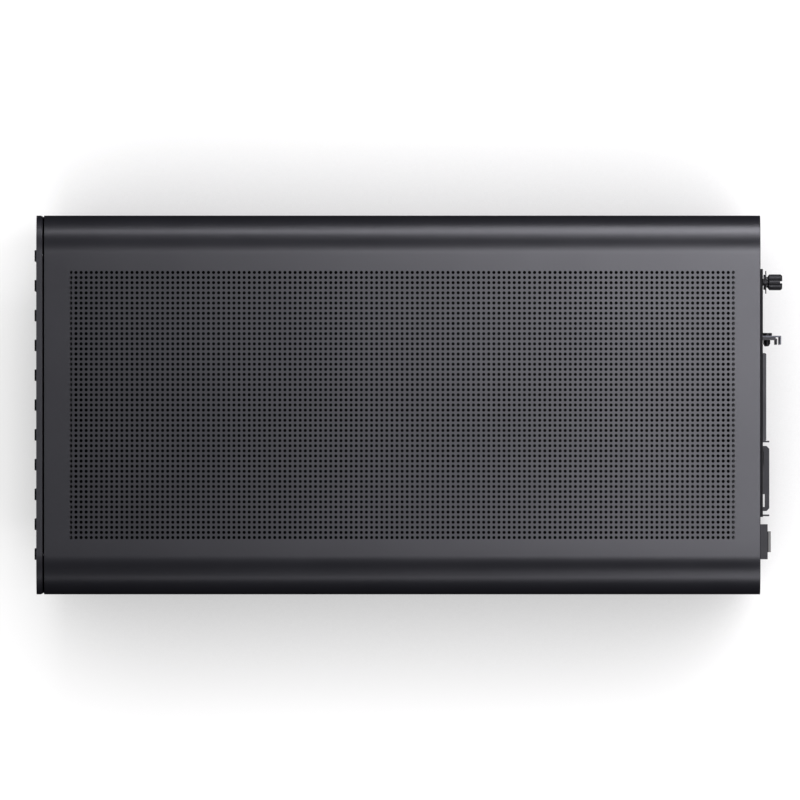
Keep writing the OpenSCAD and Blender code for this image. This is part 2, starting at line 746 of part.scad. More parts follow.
// Rocker on a pin across the case, its face bent in the middle
module switch_rocker() {
    color("#2a2a2c") translate([rocker_x, -switch_y + rocker_w / 2, mains_z]) rotate([90, 0, 0])
        linear_extrude(rocker_w) rotate(rocker_tilt) intersection() {
        circle(r = rocker_r, $fn = 64);
        polygon([[-3.2, -3], [2.2, -rocker_r], [4.6, -rocker_r], [3.4, 0], [4.6, rocker_r], [2.2,
            rocker_r], [-3.2, 3]]);
    }
}
// Round foot that narrows towards the floor
module foot(sx, sy) {
    color("#1d1d20") translate([sx * foot_span / 2, sy * foot_gauge / 2, 0]) difference() {
        union() {
            translate([0, 0, 1]) cylinder(d1 = foot_d, d2 = foot_d + 4, h = foot_h - 3, $fn = 64);
            translate([0, 0, foot_h - 2]) cylinder(d = foot_d + 4, h = 2, $fn = 64);
        }
        translate([0, 0, 0]) cylinder(d = foot_d - 6, h = 2.5, $fn = 48);
        cylinder(d = screw_hole_d + 0.2, h = foot_h + 1, $fn = 24);
        translate([0, 0, 2]) cylinder(d = 7, h = foot_h - 6, $fn = 32);
    }
}
module foot_front_left() {
    foot(-1, 1);
}
module foot_front_right() {
    foot(-1, -1);
}
module foot_rear_left() {
    foot(1, 1);
}
module foot_rear_right() {
    foot(1, -1);
}
module foot_places() {
    for (sx = [-1, 1], sy = [-1, 1]) translate([sx * foot_span / 2, sy * foot_gauge / 2, 0]) children();
}
module foot_pads() {
    color("#0e0e0f") foot_places() cylinder(d = foot_d - 6.4, h = 2.5, $fn = 48);
}
module foot_screws() {
    color("silver") foot_places() {
        translate([0, 0, foot_h - 6]) cylinder(d = 6, h = 2, $fn = 32);
        translate([0, 0, foot_h - 4 - eps]) cylinder(d = 3, h = 4 + skin_t + skin_gap / 2, $fn = 24);
    }
}
module bottom_filter_frame() {
    color("#17171a") translate([0, 0, filter_z - filter_t]) difference() {
        union() {
            translate([-filter_l / 2, -filter_w / 2, 0]) cube([filter_l, filter_w, filter_t]);
            translate([-filter_l / 2 - 8, -15, 0]) cube([9, 30, filter_t]);
        }
        translate([-filter_l / 2 + frame_w, -filter_w / 2 + frame_w, -1])
            cube([filter_l - 2 * frame_w, filter_w - 2 * frame_w, 4]);
    }
}
module bottom_filter_mesh() {
    color("#101012") translate([-filter_l / 2 + frame_w, -filter_w / 2 + frame_w,
        filter_z - filter_t + 0.5])
        cube([filter_l - 2 * frame_w, filter_w - 2 * frame_w, mesh_t]);
}
// Moulded box behind the front panel that holds the connections
module io_housing() {
    color("#161618") difference() {
        union() {
            span([io_x, -io_case_w / 2, io_z - io_case_h / 2], [io_x + io_d, io_case_w / 2,
                io_z + io_case_h / 2]);
            span([front_x + frame_t, -io_case_w / 2 - 2, io_z - io_case_h / 2], [front_x + frame_t + 2,
                io_case_w / 2 + 2, io_z + io_case_h / 2 + 2]);
        }
        span([board_x, -io_case_w / 2 + 2, io_z - io_case_h / 2 + 2], [io_x + io_d + 1,
            io_case_w / 2 - 2, io_z + io_case_h / 2 - 2]);
        port_holes(io_x - 1, board_x + 1, 0);
        rod_x(io_x - 1, board_x + 1, button_y, io_z, button_d / 2 + 0.1, 48);
    }
}
module io_board() {
    color("#1f4030") span([board_x, -io_case_w / 2 + 2.2, io_z - io_case_h / 2 + 2.2], [board_x + 1.6,
        io_case_w / 2 - 2.2, io_z + io_case_h / 2 - 2.2]);
}
module power_button() {
    x1 = board_x - switch_t - button_travel - 0.2;
    color("#2d2e32") difference() {
        rod_x(panel_x - 0.2, x1, button_y, io_z, button_d / 2, 48);
        translate([panel_x - 24.2, button_y, io_z]) sphere(r = 24.4, $fn = 96);
    }
}
module power_switch() {
    color("#202022") {
        span([board_x - switch_t + 1, button_y - 3, io_z - 3], [board_x, button_y + 3, io_z + 3]);
        rod_x(board_x - switch_t, board_x - switch_t + 1 + eps, button_y, io_z, 1.7, 24);
    }
}
// Folded steel shell of a socket
module port_shell(y, size, wall) {
    difference() {
        span([panel_x + 0.4, y - size[0] / 2, io_z - size[1] / 2], [board_x, y + size[0] / 2,
            io_z + size[1] / 2]);
        span([panel_x - 1, y - size[0] / 2 + wall, io_z - size[1] / 2 + wall], [board_x - 2,
            y + size[0] / 2 - wall, io_z + size[1] / 2 - wall]);
    }
}
module usb_a_shell() {
    color("silver") port_shell(usb_a_y, usb_a_size, 0.4);
}
module usb_a_tongue() {
    color("#1d3f8f") span([panel_x + 2, usb_a_y - 5.6, io_z + 0.4], [board_x - 2, usb_a_y + 5.6,
        io_z + 2.2]);
}
module usb_c_shell() {
    color("silver") port_shell(usb_c_y, usb_c_size, 0.35);
}
module usb_c_tongue() {
    color("#141416") span([panel_x + 1.6, usb_c_y - 3.3, io_z - 0.35], [board_x - 2, usb_c_y + 3.3,
        io_z + 0.35]);
}
module audio_jack() {
    color("#141416") difference() {
        rod_x(panel_x + 0.4, board_x, jack_y, io_z, jack_r, 32);
        rod_x(panel_x - 1, board_x - 1, jack_y, io_z, 1.8, 32);
    }
}
front_panel();
front_panel_studs();
front_frame();
rear_panel();
base_pan();
motherboard_tray();
standoffs();
top_rail_left();
top_rail_right();
top_cover();
cover_studs();
cover_grip();
top_filter_frame();
top_filter_mesh();
left_panel();
left_panel_studs();
right_panel();
right_panel_studs();
panel_clips();
psu_bracket();
drive_bracket();
drive_bracket_screws();
slot_cover_1();
slot_cover_2();
slot_cover_3();
slot_cover_4();
slot_clamp();
slot_screws();
thumbscrew();
thumbscrew_washer();
inlet_housing();
inlet_pins();
inlet_bracket();
switch_frame();
switch_rocker();
foot_front_left();
foot_front_right();
foot_rear_left();
foot_rear_right();
foot_pads();
foot_screws();
bottom_filter_frame();
bottom_filter_mesh();
io_housing();
io_board();
power_button();
power_switch();
usb_a_shell();
usb_a_tongue();
usb_c_shell();
usb_c_tongue();
audio_jack();
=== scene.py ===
import json
import math

import bpy
import numpy as np
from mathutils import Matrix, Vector


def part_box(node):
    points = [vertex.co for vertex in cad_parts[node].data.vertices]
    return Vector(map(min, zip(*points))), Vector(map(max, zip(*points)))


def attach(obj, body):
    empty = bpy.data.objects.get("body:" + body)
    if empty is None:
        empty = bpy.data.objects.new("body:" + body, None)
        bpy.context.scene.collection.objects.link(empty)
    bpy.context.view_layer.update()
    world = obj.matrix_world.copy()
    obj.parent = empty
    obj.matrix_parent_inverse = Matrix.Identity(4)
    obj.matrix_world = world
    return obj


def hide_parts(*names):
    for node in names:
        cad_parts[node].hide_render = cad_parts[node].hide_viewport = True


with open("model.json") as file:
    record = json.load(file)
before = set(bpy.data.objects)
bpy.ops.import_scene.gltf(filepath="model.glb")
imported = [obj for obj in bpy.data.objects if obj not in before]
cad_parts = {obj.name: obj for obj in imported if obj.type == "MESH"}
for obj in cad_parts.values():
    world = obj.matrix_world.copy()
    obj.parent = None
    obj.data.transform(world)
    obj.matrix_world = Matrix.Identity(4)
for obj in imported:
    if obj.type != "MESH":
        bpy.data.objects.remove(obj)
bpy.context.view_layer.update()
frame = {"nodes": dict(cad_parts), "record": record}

mm = 0.001
print("frame loaded:", len(frame["nodes"]), "nodes")


# Low and high corner of a node, in millimetres
def nodeBox(node):
    low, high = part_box(node)
    return np.array(low) / mm, np.array(high) / mm


coverHigh = nodeBox("top_cover")[1]
panLow, panHigh = nodeBox("base_pan")
shellFront, shellRear = panLow[0], panHigh[0]      # ends of the shell along X
halfWidth, caseTop = coverHigh[1], coverHigh[2]


# The camera looks straight down, with the rear of the case to the right
camera = {
    "lens": 1650,               # mm, so long that the low rear parts keep their place
    "sensor": 36,               # mm
    "imageSize": 800,           # pixels, both ways
    "shellFrontPixel": 43.75,   # column where the shell begins
    "shellRearPixel": 760.5,    # column where it ends
    "middlePixel": 405,         # row of the case's middle line
    "clipEnd": 100,             # m
}


# A pixel is the shell's length over the columns between its ends. The camera stands above the
# cover by the width of the picture times lens over sensor.
def makeCamera(c):
    pixel = (shellRear - shellFront) / (c["shellRearPixel"] - c["shellFrontPixel"])
    x = shellFront + (c["imageSize"] / 2 - c["shellFrontPixel"]) * pixel
    y = (c["middlePixel"] - c["imageSize"] / 2) * pixel
    distance = c["imageSize"] * pixel * c["lens"] / c["sensor"]
    data = bpy.data.cameras.new("topCamera")
    data.lens = c["lens"]
    data.sensor_width = c["sensor"]
    data.clip_end = c["clipEnd"]
    cameraObject = bpy.data.objects.new("topCamera", data)
    cameraObject.location = (x * mm, y * mm, (caseTop + distance) * mm)
    bpy.context.scene.collection.objects.link(cameraObject)
    bpy.context.scene.camera = cameraObject


makeCamera(camera)
print("camera set")


# sRGB hex to the linear colour a shader wants
def linear(hexColour):
    parts = [int(hexColour[i:i + 2], 16) / 255 for i in (1, 3, 5)]
    return [c / 12.92 if c <= 0.04045 else ((c + 0.055) / 1.055) ** 2.4 for c in parts] + [1.0]


# Adds a node, sets its properties and its sockets, and links those given as (node, output).
# A socket is called by its name with _ for a space, or by its number after a _.
def addNode(tree, kind, settings=None, **sockets):
    node = tree.nodes.new(kind)
    for key, value in (settings or {}).items():
        setattr(node, key, value)
    for key, value in sockets.items():
        socket = node.inputs[int(key[1:])] if key[1:].isdigit() else node.inputs[key.replace("_", " ")]
        if isinstance(value, tuple) and hasattr(value[0], "outputs"):
            tree.links.new(value[0].outputs[value[1]], socket)
        else:
            socket.default_value = value
    return node


# A material with its shader, and the object coordinates that its patterns follow
def newFinish(name, **shaderValues):
    material = bpy.data.materials.new(name)
    material.use_nodes = True
    tree = material.node_tree
    tree.nodes.clear()
    shader = addNode(tree, "ShaderNodeBsdfPrincipled", **shaderValues)
    addNode(tree, "ShaderNodeOutputMaterial", Surface=(shader, "BSDF"))
    place = addNode(tree, "ShaderNodeTexCoord")
    return material, tree, shader, (place, "Object")


noiseSpan = {"From_Min": 0.35, "From_Max": 0.65}        # where most of a noise lies


# Two close colours and a roughness that wander with the mean of a fine and a broad noise, and a
# bump from the fine one. grain, cloud and depth are the noises' sizes and the bump's height in mm.
def grainedFinish(name, f, **shaderValues):
    material, tree, shader, place = newFinish(name, **shaderValues)
    grain = addNode(tree, "ShaderNodeTexNoise", Vector=place, Scale=1 / (f["grain"] * mm),
                    Detail=3.0, Roughness=0.6)
    cloud = addNode(tree, "ShaderNodeTexNoise", Vector=place, Scale=1 / (f["cloud"] * mm),
                    Detail=4.0, Roughness=0.55)
    both = addNode(tree, "ShaderNodeMix", {"data_type": "FLOAT"}, Factor=0.5,
                   A=(grain, "Fac"), B=(cloud, "Fac"))
    tint = addNode(tree, "ShaderNodeMapRange", Value=(both, "Result"), **noiseSpan)
    colour = addNode(tree, "ShaderNodeMix", {"data_type": "RGBA"}, Factor=(tint, "Result"),
                     _6=linear(f["dark"]), _7=linear(f["light"]))
    gloss = addNode(tree, "ShaderNodeMapRange", Value=(both, "Result"), **noiseSpan,
                    To_Min=f["smooth"], To_Max=f["rough"])
    bump = addNode(tree, "ShaderNodeBump", Strength=f["bump"], Distance=f["depth"] * mm,
                   Height=(grain, "Fac"))
    tree.links.new(colour.outputs[2], shader.inputs["Base Color"])
    tree.links.new(gloss.outputs["Result"], shader.inputs["Roughness"])
    tree.links.new(bump.outputs["Normal"], shader.inputs["Normal"])
    return material


# Powder-coated steel, sprayed and baked: a fine orange peel that breaks the highlight
powderCoat = {"dark": "#18181b", "light": "#1a1a1d", "smooth": 0.31, "rough": 0.34,
              "grain": 0.45, "cloud": 30, "bump": 0.2, "depth": 0.015}
# The same coat on the inner sheets, thinner and a little duller
frameCoat = {"dark": "#121213", "light": "#171718", "smooth": 0.42, "rough": 0.52,
             "grain": 0.5, "cloud": 26, "bump": 0.3, "depth": 0.02}
# The bend of the cover's tongue: near black and nearly without sheen, a painted shade for its rear face,
# which turns away from the lamps
bendPaintedShade = {"dark": "#060607", "light": "#0a0a0b", "smooth": 0.55, "rough": 0.65,
            "grain": 0.4, "cloud": 10, "bump": 0.2, "depth": 0.01}
# Walls of the air holes: near black and dull, a painted shade that keeps the holes black
holeWallShade = {"dark": "#020202", "light": "#050505", "smooth": 0.8, "rough": 0.95,
           "grain": 0.4, "cloud": 5, "bump": 0.2, "depth": 0.01}
# Anodised aluminium, bead blasted first: an even satin with tiny pits
anodised = {"dark": "#17171a", "light": "#1c1c1f", "smooth": 0.34, "rough": 0.4,
            "grain": 0.25, "cloud": 18, "bump": 0.3, "depth": 0.015}
# ABS, moulded in a spark-eroded tool: soft matt grain
mouldedPlastic = {"dark": "#0e0e10", "light": "#141416", "smooth": 0.45, "rough": 0.6,
                  "grain": 0.35, "cloud": 9, "bump": 0.4, "depth": 0.03}
# Polycarbonate, moulded in a polished tool: near mirror with a faint ripple
polishedPlastic = {"dark": "#111113", "light": "#161618", "smooth": 0.12, "rough": 0.2,
                   "grain": 2.5, "cloud": 6, "bump": 0.15, "depth": 0.02}
# PBT, moulded: the socket's blue tongue, a plain satin
bluePlastic = {"dark": "#1f3f8c", "light": "#25489c", "smooth": 0.4, "rough": 0.5,
               "grain": 0.3, "cloud": 3, "bump": 0.3, "depth": 0.02}
# Zinc-plated steel: bright, with the cloudy grain of the bath
zincPlate = {"dark": "#a6a8ac", "light": "#c2c3c6", "smooth": 0.28, "rough": 0.4,
             "grain": 0.3, "cloud": 3, "bump": 0.2, "depth": 0.01}
# Bare rolled steel: darker and duller than the plated screws
rolledSteel = {"dark": "#47484b", "light": "#5a5b5e", "smooth": 0.35, "rough": 0.5,
               "grain": 0.3, "cloud": 5, "bump": 0.25, "depth": 0.015}
# Black-oxidised steel: an oxide skin under oil, dark with a weak sheen
blackOxide = {"dark": "#0a0a0b", "light": "#131315", "smooth": 0.3, "rough": 0.45,
              "grain": 0.2, "cloud": 2, "bump": 0.3, "depth": 0.01}
# Turned brass: warm, with a fine lathe grain
turnedBrass = {"dark": "#b08a3c", "light": "#c9a65a", "smooth": 0.22, "rough": 0.35,
               "grain": 0.2, "cloud": 2, "bump": 0.2, "depth": 0.01}
# Silicone rubber: dead matt with dust-fine grain
softRubber = {"dark": "#141415", "light": "#1b1b1c", "smooth": 0.7, "rough": 0.85,
              "grain": 0.3, "cloud": 5, "bump": 0.5, "depth": 0.03}
# Solder mask on glass-fibre board: thin green gloss over a faint weave
solderMask = {"dark": "#16382c", "light": "#1d4637", "smooth": 0.25, "rough": 0.35,
              "grain": 0.6, "cloud": 4, "bump": 0.2, "depth": 0.02}
# Near black and dead matt: on the filter's frame a painted shade under the air holes, and the black of the
# reflection cards
holeShadeAndCardBlack = {"dark": "#020202", "light": "#060606", "smooth": 0.85, "rough": 0.95,
              "grain": 0.5, "cloud": 6, "bump": 0.6, "depth": 0.05}
# Nylon mesh, plain weave: dark threads with open spaces between. Both are near black, partly the black
# nylon and partly painted shade under the air holes. Real threads lie 0.3 mm apart, which is too fine to
# show, so they are drawn 0.8 mm apart.
nylonMeshPaintedShade = {"thread": "#040404", "gap": "#010101", "spacing": 0.8, "rough": 0.85,
             "bump": 0.6, "depth": 0.1}


# Height is the greater of two waves that cross at a right angle, and the colour follows it
def wovenFinish(name, f):
    material, tree, shader, place = newFinish(name, Roughness=f["rough"], IOR=1.2)
    scale = math.pi / 10 / (f["spacing"] * mm)          # a wave texture of scale 1 repeats every pi / 10
    across, along = [addNode(tree, "ShaderNodeTexWave", {"bands_direction": way}, Vector=place, Scale=scale)
                     for way in ("X", "Y")]
    height = addNode(tree, "ShaderNodeMath", {"operation": "MAXIMUM"},
                     _0=(across, "Fac"), _1=(along, "Fac"))
    colour = addNode(tree, "ShaderNodeMix", {"data_type": "RGBA"}, Factor=(height, "Value"),
                     _6=linear(f["gap"]), _7=linear(f["thread"]))
    bump = addNode(tree, "ShaderNodeBump", Strength=f["bump"], Distance=f["depth"] * mm,
                   Height=(height, "Value"))
    tree.links.new(colour.outputs[2], shader.inputs["Base Color"])
    tree.links.new(bump.outputs["Normal"], shader.inputs["Normal"])
    return material


finishes = {
    "cover_finish": grainedFinish("powderCoatedSteel", powderCoat),
    "front_finish": grainedFinish("anodisedAluminium", anodised),
    "button_finish": grainedFinish("anodisedButton", anodised),
    "frame_finish": grainedFinish("powderCoatedFrame", frameCoat),
    "black_plastic": grainedFinish("mouldedAbs", mouldedPlastic, IOR=1.54),
    "gloss_black_plastic": grainedFinish("polishedPolycarbonate", polishedPlastic, IOR=1.58),
    "bright_steel": grainedFinish("zincPlatedSteel", zincPlate, Metallic=1.0),
    "grey_steel": grainedFinish("rolledSteel", rolledSteel, Metallic=1.0),
    "black_screw": grainedFinish("blackOxideSteel", blackOxide, Specular_IOR_Level=0.25),
    "brass": grainedFinish("turnedBrass", turnedBrass, Metallic=1.0),
    "rubber": grainedFinish("siliconeRubber", softRubber, IOR=1.41),
    "circuit_board": grainedFinish("solderMask", solderMask, IOR=1.5),
    "blue_plastic": grainedFinish("pbtPlastic", bluePlastic, IOR=1.55),
    "filter_mesh": wovenFinish("wovenNylonPaintedShade", nylonMeshPaintedShade),
}
holeWallShadeFinish = grainedFinish("paintedShadeHoleWall", holeWallShade, IOR=1.2)
bendShadeFinish = grainedFinish("paintedShadeBend", bendPaintedShade, Specular_IOR_Level=0.2)
# Nodes whose look differs from the rest of their slot
ownFinishes = {
    # The filter frame under the air holes is drawn near black, a painted shade that keeps the holes dark
    "top_filter_frame": grainedFinish("paintedShadeFilterFrame", holeShadeAndCardBlack, IOR=1.15),
    "thumbscrew_washer": finishes["black_screw"],
}


def dressNodes():
    for part in frame["record"]["subparts"]:
        data = frame["nodes"][part["node"]].data
        data.materials.clear()
        data.materials.append(ownFinishes.get(part["node"], finishes[part["material_slot"]]))


dressNodes()
print("finishes made:", len(finishes))


# Puts points in millimetres and faces into a mesh that rides on a body and replaces a node.
# Faces that meet at more than smooth degrees keep a sharp edge, and 0 leaves them all flat.
def addPiece(name, points, faces, body, slot, node, smooth=30):
    data = bpy.data.meshes.new(name)
    data.from_pydata((np.asarray(points) * mm).tolist(), [], faces)
    data.validate()
    data.materials.append(finishes[slot])
    piece = bpy.data.objects.new(name, data)
    bpy.context.scene.collection.objects.link(piece)
    if smooth:
        data.polygons.foreach_set("use_smooth", np.ones(len(data.polygons), bool))
        data.set_sharp_from_angle(angle=math.radians(smooth))
    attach(piece, body)
    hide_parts(node)
    return piece


# The faces from number firstFaces on get a second material
def addSecondFinish(piece, finish, firstFaces):
    polygons = piece.data.polygons
    piece.data.materials.append(finish)
    polygons.foreach_set("material_index", (np.arange(len(polygons)) >= firstFaces).astype(int))


# Closed sheet from two grids of points, the outer and the inner skin. keep says which cells are
# sheet, and a wall joins the skins wherever a kept cell has no kept neighbour.
def sheetFromGrids(outer, inner, keep):
    rows, columns = keep.shape
    index = np.arange((rows + 1) * (columns + 1)).reshape(rows + 1, columns + 1)
    count = index.size
    a, b, c, d = index[:-1, :-1], index[1:, :-1], index[1:, 1:], index[:-1, 1:]
    skin = np.stack([a, b, c, d], -1)[keep]
    faces = [skin, skin[:, ::-1] + count]
    around = np.pad(keep, 1)
    for start, end, neighbour in ((a, b, around[1:-1, :-2]), (b, c, around[2:, 1:-1]),
                                  (c, d, around[1:-1, 2:]), (d, a, around[:-2, 1:-1])):
        bare = keep & ~neighbour
        first, second = start[bare], end[bare]
        faces.append(np.stack([second, first, first + count, second + count], -1))
    points = np.concatenate([outer.reshape(-1, 3), inner.reshape(-1, 3)])
    return points, np.concatenate(faces)


# Top cover: a folded sheet, its holes on the true fine grid. Lengths in millimetres.
cover = {
    "sheet": 1.2,
    "edgeRadius": 19,
    "arcSteps": 28,
    "holesAlong": 131,
    "holesAcross": 53,
    "pitch": 2.5,
    "holeWidth": 1.65,      # across the corners of its eight sides
    "edgeBreak": 0.25,      # chamfer at the cut ends, along the cover
    "edgeDrop": 0.2,        # the same chamfer, into the sheet
    "panelSeam": 0.5,       # between the cover's lower edges and the side panels
    "tongueHeight": 13,
    "tongueWidth": 121.7,
    "tongueShift": 5.9,     # of the tongue's middle, towards +Y
    "tongueSteps": 8,
    "notchWidth": 4.2,
    "notchDrop": 1.5,       # top of the notch, below the top of the thumbscrew's head
}
fieldLength = cover["holesAlong"] * cover["pitch"]
fieldWidth = cover["holesAcross"] * cover["pitch"]
shellMiddle = (shellFront + shellRear) / 2
flangeEnd = nodeBox("left_panel")[1][2] + cover["panelSeam"]


# Section of the cover, inset by a depth: a straight flange, a quarter circle with
# y = half width - r + (r - depth) cos t and z = top - r + (r - depth) sin t, half of the flat
# top up to the hole field, and the same mirrored.
def coverSection(depth):
    r = cover["edgeRadius"]
    t = np.linspace(0, math.pi / 2, cover["arcSteps"] + 1)
    y = np.concatenate([[halfWidth - depth], halfWidth - r + (r - depth) * np.cos(t), [fieldWidth / 2]])
    z = np.concatenate([[flangeEnd], caseTop - r + (r - depth) * np.sin(t), [caseTop - depth]])
    right = np.stack([y, z], -1)
    return np.vstack([right, right[::-1] * [-1, 1]])


# The section carried along X, with chamfered ends and without the cell of the hole field
def coverShell():
    step, drop = cover["edgeBreak"], cover["edgeDrop"]
    x = np.array([shellFront, shellFront + step, shellMiddle - fieldLength / 2,
                  shellMiddle + fieldLength / 2, shellRear - step, shellRear])
    outer = np.stack([coverSection(depth) for depth in (drop, 0, 0, 0, 0, drop)], 1)
    inner = np.stack([coverSection(cover["sheet"])] * len(x), 1)
    along = np.broadcast_to(x, outer.shape[:2])
    keep = np.ones((outer.shape[0] - 1, len(x) - 1), bool)
    keep[cover["arcSteps"] + 2, 2] = False              # between the two edges of the field
    return sheetFromGrids(np.dstack([along, outer]), np.dstack([along, inner]), keep)


# Tongue at the rear: its outer skin is a quarter circle of the sheet's thickness, then a drop.
# The thumbscrew's notch is open below.
def coverTongue():
    sheet = cover["sheet"]
    under = caseTop - sheet
    screwLow, screwHigh = nodeBox("thumbscrew")
    notchTop = screwHigh[2] - cover["notchDrop"]
    t = np.linspace(math.pi / 2, 0, cover["tongueSteps"] + 1)
    x = np.concatenate([shellRear + sheet * np.cos(t), [shellRear + sheet] * 2])
    z = np.concatenate([under + sheet * np.sin(t), [notchTop, under - cover["tongueHeight"]]])
    middle, screwMiddle = cover["tongueShift"], (screwLow[1] + screwHigh[1]) / 2
    side, notch = cover["tongueWidth"] / 2, cover["notchWidth"] / 2
    y = np.array([middle - side, screwMiddle - notch, screwMiddle + notch, middle + side])
    outer = np.dstack(np.broadcast_arrays(x[:, None], y[None], z[:, None]))
    inner = outer.copy()
    inner[..., 0] = shellRear
    inner[..., 2] = np.minimum(z, under)[:, None]
    keep = np.ones((len(x) - 1, 3), bool)
    keep[-1, 1] = False
    return sheetFromGrids(outer, inner, keep)


# Perforated sheet of square cells, each with an eight-sided hole. A hole's points are
# centre + r (cos t, sin t), and each side and each corner of the cell joins the hole's side
# that faces it. Gives the points, the faces of the skins and rim, and the walls of the holes.
def perforatedField(columns, rows, xStart, yStart):
    pitch, r, sides = cover["pitch"], cover["holeWidth"] / 2, 8
    i, j = np.meshgrid(np.arange(columns + 1), np.arange(rows + 1), indexing="ij")
    corners = np.stack([xStart + i * pitch, yStart + j * pitch], -1)
    centres = corners[:-1, :-1].reshape(-1, 1, 2) + pitch / 2
    t = (np.arange(sides) + 0.5) * 2 * math.pi / sides
    holes = centres + r * np.stack([np.cos(t), np.sin(t)], -1)
    flat = np.vstack([corners.reshape(-1, 2), holes.reshape(-1, 2)])
    count = len(flat)
    levels = (caseTop, caseTop - cover["sheet"])
    points = np.vstack([np.column_stack([flat, np.full(count, level)]) for level in levels])
    number = np.arange(i.size).reshape(i.shape)
    cell = [n.ravel() for n in (number[1:, 1:], number[:-1, 1:], number[:-1, :-1], number[1:, :-1])]
    hole = i.size + np.arange(columns * rows * sides).reshape(-1, sides).T
    quads = np.concatenate([np.stack([cell[k - 1], cell[k], hole[2 * k], hole[2 * k - 1]], -1)
                            for k in range(4)])
    threes = np.concatenate([np.stack([cell[k], hole[2 * k + 1], hole[2 * k]], -1) for k in range(4)])
    after = np.roll(hole, -1, 0)
    walls = np.stack([hole, after, after + count, hole + count], -1).reshape(-1, 4)
    rim = np.concatenate([number[:, 0], number[-1, 1:], number[-2::-1, -1], number[0, -2:0:-1]])
    nextRim = np.roll(rim, -1)
    rimWalls = np.stack([nextRim, rim, rim + count, nextRim + count], -1)
    skins = np.concatenate([quads, quads[:, ::-1] + count, rimWalls]).tolist()
    skins += np.concatenate([threes, threes[:, ::-1] + count]).tolist()
    return points, skins, walls.tolist()


def makeCover():
    points, faces = coverShell()
    tonguePoints, tongueFaces = coverTongue()
    sheet = addPiece("coverSheet", np.vstack([points, tonguePoints]),
                     np.concatenate([faces, tongueFaces + len(points)]).tolist(),
                     "cover", "cover_finish", "top_cover")
    # The whole tongue takes the near-black finish that paints the shade on its bend
    addSecondFinish(sheet, bendShadeFinish, len(faces))
    fieldStart = shellMiddle - fieldLength / 2
    half = cover["holesAlong"] // 2                     # in two meshes, as one would be too heavy
    for name, first, columns in (("coverFieldFront", 0, half),
                                 ("coverFieldRear", half, cover["holesAlong"] - half)):
        points, skins, walls = perforatedField(columns, cover["holesAcross"],
                                               fieldStart + first * cover["pitch"], -fieldWidth / 2)
        field = addPiece(name, points, skins + walls, "cover", "cover_finish", "top_cover", smooth=0)
        # The walls of the holes take the near-black painted shade
        addSecondFinish(field, holeWallShadeFinish, len(skins))


makeCover()
print("top cover made")


# Pale studio floor under a softbox and strips, all out of the camera's sight. The camera sees
# the floor nearly white, with the shadow of the case partly cast by the lamps and partly painted,
# and so do mirrors and clear parts. It throws little light back, so that the lower sides of the case
# stay dark. Lengths in millimetres.
studio = {
    "floorSize": 12000,
    "floorPale": "#f5f4ed",
    "floorDark": "#222223",
    "floorLit": 0.3,                # share of the floor's look that the lamps give
    "floorGlow": 0.97,
    "shadowReach": 95,
    "frontLift": 0.55,              # painted light: how much of the painted shadow a ramp takes away before the front face
    "frontLiftFrom": 22,            # the lift is full this far before the shell
    "frontLiftTo": 8,               # and has gone this far behind its front
    "worldLevel": 0.015,
    "cardSize": (1600, 285),        # along and up, lower than the cover's top
    "cardPlace": 300,               # from the middle, out of the picture
    "cardInner": 96,                # where the lying part begins, close to the case
    "cardLift": 1,                  # over the floor
    "lampColour": "#f6f5ff",        # slightly cool, as daylight tubes are
    "lamps": [
        # name, place, looks at, size along and across the case, power in watts
        ("softbox", (430, 260, 1500), (50, 0, 290), (600, 900), 15.4),
        ("leftStrip", (300, 1236, 682), (180, 0, 280), (1000, 200), 5.0),
        ("leftRearStrip", (720, 1236, 682), (360, 0, 280), (1000, 200), 9.5),
        ("leftLowStrip", (540, 1293, 416), (300, 0, 280), (1000, 200), 6.0),
        ("leftHighStrip", (560, 1090, 988), (280, 0, 280), (1000, 200), 3.0),
        ("rightStrip", (780, -1168, 850), (450, 0, 280), (1000, 200), 9.8),
        ("rightHighStrip", (700, -996, 1116), (420, 0, 280), (1000, 200), 4.3),
        ("rightLowStrip", (300, -1222, 725), (180, 0, 280), (1000, 200), 1.3),
    ],
}


# Puts a plain mesh of the studio into the scene
def addStage(name, points, faces, material):
    data = bpy.data.meshes.new(name)
    data.from_pydata((np.asarray(points) * mm).tolist(), [], faces)
    data.materials.append(material)
    stage = bpy.data.objects.new(name, data)
    bpy.context.scene.collection.objects.link(stage)
    return stage


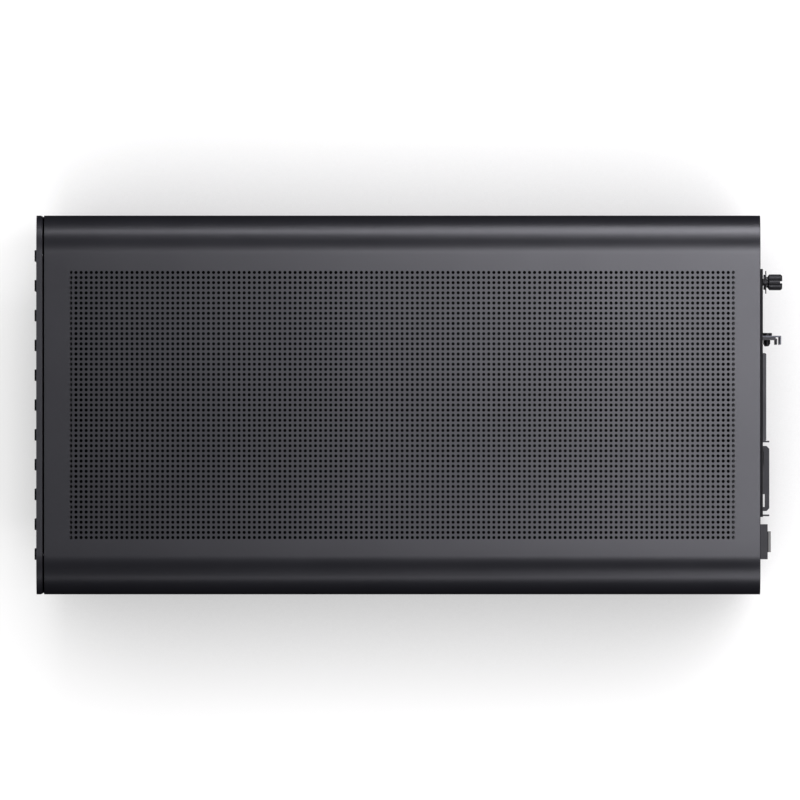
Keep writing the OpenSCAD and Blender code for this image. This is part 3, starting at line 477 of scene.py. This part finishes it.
# Painted board, matt and pale. What sees it gets a share of paint lit by the lamps and a share of
# glow, dimmed where the case is near, which paints its shadow, and lightened before the front face
# by a painted ramp. Every other ray meets a dark colour, so little light comes back.
def floorFinish(s):
    material, tree, shader, place = newFinish("paleFloorPaintedShadow", Roughness=0.6)
    path = addNode(tree, "ShaderNodeLightPath")
    mirrored = addNode(tree, "ShaderNodeMath", {"operation": "MAXIMUM"},
                       _0=(path, "Is Glossy Ray"), _1=(path, "Is Transmission Ray"))
    looking = addNode(tree, "ShaderNodeMath", {"operation": "MAXIMUM"},
                      _0=(path, "Is Camera Ray"), _1=(mirrored, "Value"))
    colour = addNode(tree, "ShaderNodeMix", {"data_type": "RGBA"}, Factor=(looking, "Value"),
                     _6=linear(s["floorDark"]), _7=linear(s["floorPale"]))
    tree.links.new(colour.outputs[2], shader.inputs["Base Color"])
    # Painted shadow: ambient occlusion darkens the glow near the case
    near = addNode(tree, "ShaderNodeAmbientOcclusion", {"samples": 16}, Distance=s["shadowReach"] * mm)
    along = addNode(tree, "ShaderNodeSeparateXYZ", Vector=place)
    # Painted light: a ramp along X lightens that painted shadow before the front face
    lift = addNode(tree, "ShaderNodeMapRange", Value=(along, "X"), To_Min=s["frontLift"], To_Max=0.0,
                   From_Min=(shellFront - s["frontLiftFrom"]) * mm,
                   From_Max=(shellFront + s["frontLiftTo"]) * mm)
    shade = addNode(tree, "ShaderNodeMix", {"data_type": "RGBA"}, Factor=(lift, "Result"),
                    _6=(near, "Color"), _7=(1, 1, 1, 1))
    glow = addNode(tree, "ShaderNodeEmission", Color=(shade, 2),
                   Strength=s["floorGlow"] / (1 - s["floorLit"]))
    both = addNode(tree, "ShaderNodeMixShader", _0=s["floorLit"],
                   _1=(glow, "Emission"), _2=(shader, "BSDF"))
    seen = addNode(tree, "ShaderNodeMixShader", _0=(looking, "Value"),
                   _1=(shader, "BSDF"), _2=(both, "Shader"))
    tree.links.new(seen.outputs["Shader"], tree.nodes["Material Output"].inputs["Surface"])
    return material


def makeFloor(s):
    half = s["floorSize"] / 2
    corners = [(x * half, y * half, 0) for x, y in ((-1, -1), (1, -1), (1, 1), (-1, 1))]
    addStage("floor", corners, [(0, 1, 2, 3)], floorFinish(s))


# Black cards lie and stand along both sides of the case and show in reflections only. The
# rounded edges mirror them and not the pale floor, which keeps the outline dark.
def makeCards(s):
    length, height = s["cardSize"]
    inner, outer, bottom = s["cardInner"], s["cardPlace"], s["cardLift"]
    black = grainedFinish("blackCard", holeShadeAndCardBlack, IOR=1.15)
    for name, side in (("leftCard", 1), ("rightCard", -1)):
        points = [(x * length / 2, side * y, z)
                  for y, z in ((inner, bottom), (outer, bottom), (outer, bottom + height)) for x in (-1, 1)]
        card = addStage(name, points, [(0, 1, 3, 2), (2, 3, 5, 4)], black)
        card.visible_camera = card.visible_diffuse = card.visible_shadow = False


def makeLamps(s):
    for name, place, target, size, power in s["lamps"]:
        data = bpy.data.lights.new(name, "AREA")
        data.shape = "RECTANGLE"
        data.size, data.size_y = size[0] * mm, size[1] * mm
        data.energy = power
        data.color = linear(s["lampColour"])[:3]
        lamp = bpy.data.objects.new(name, data)
        lamp.location = Vector(place) * mm
        lamp.rotation_euler = (Vector(place) - Vector(target)).to_track_quat("Z", "Y").to_euler()
        lamp.visible_camera = False
        bpy.context.scene.collection.objects.link(lamp)


# The camera and clear parts see a white room. The coat mirrors its dark ceiling, as in the photograph.
def makeWorld(s):
    world = bpy.data.worlds.new("studio")
    world.use_nodes = True
    bpy.context.scene.world = world
    tree = world.node_tree
    tree.nodes.clear()
    path = addNode(tree, "ShaderNodeLightPath")
    looking = addNode(tree, "ShaderNodeMath", {"operation": "MAXIMUM"},
                      _0=(path, "Is Camera Ray"), _1=(path, "Is Transmission Ray"))
    level = addNode(tree, "ShaderNodeMix", {"data_type": "FLOAT"}, Factor=(looking, "Value"),
                    A=s["worldLevel"], B=1.0)
    light = addNode(tree, "ShaderNodeBackground", Color=(1, 1, 1, 1), Strength=(level, "Result"))
    addNode(tree, "ShaderNodeOutputWorld", Surface=(light, "Background"))


makeFloor(studio)
makeCards(studio)
makeLamps(studio)
makeWorld(studio)
bpy.context.scene.view_settings.view_transform = "Standard"
print("studio made")
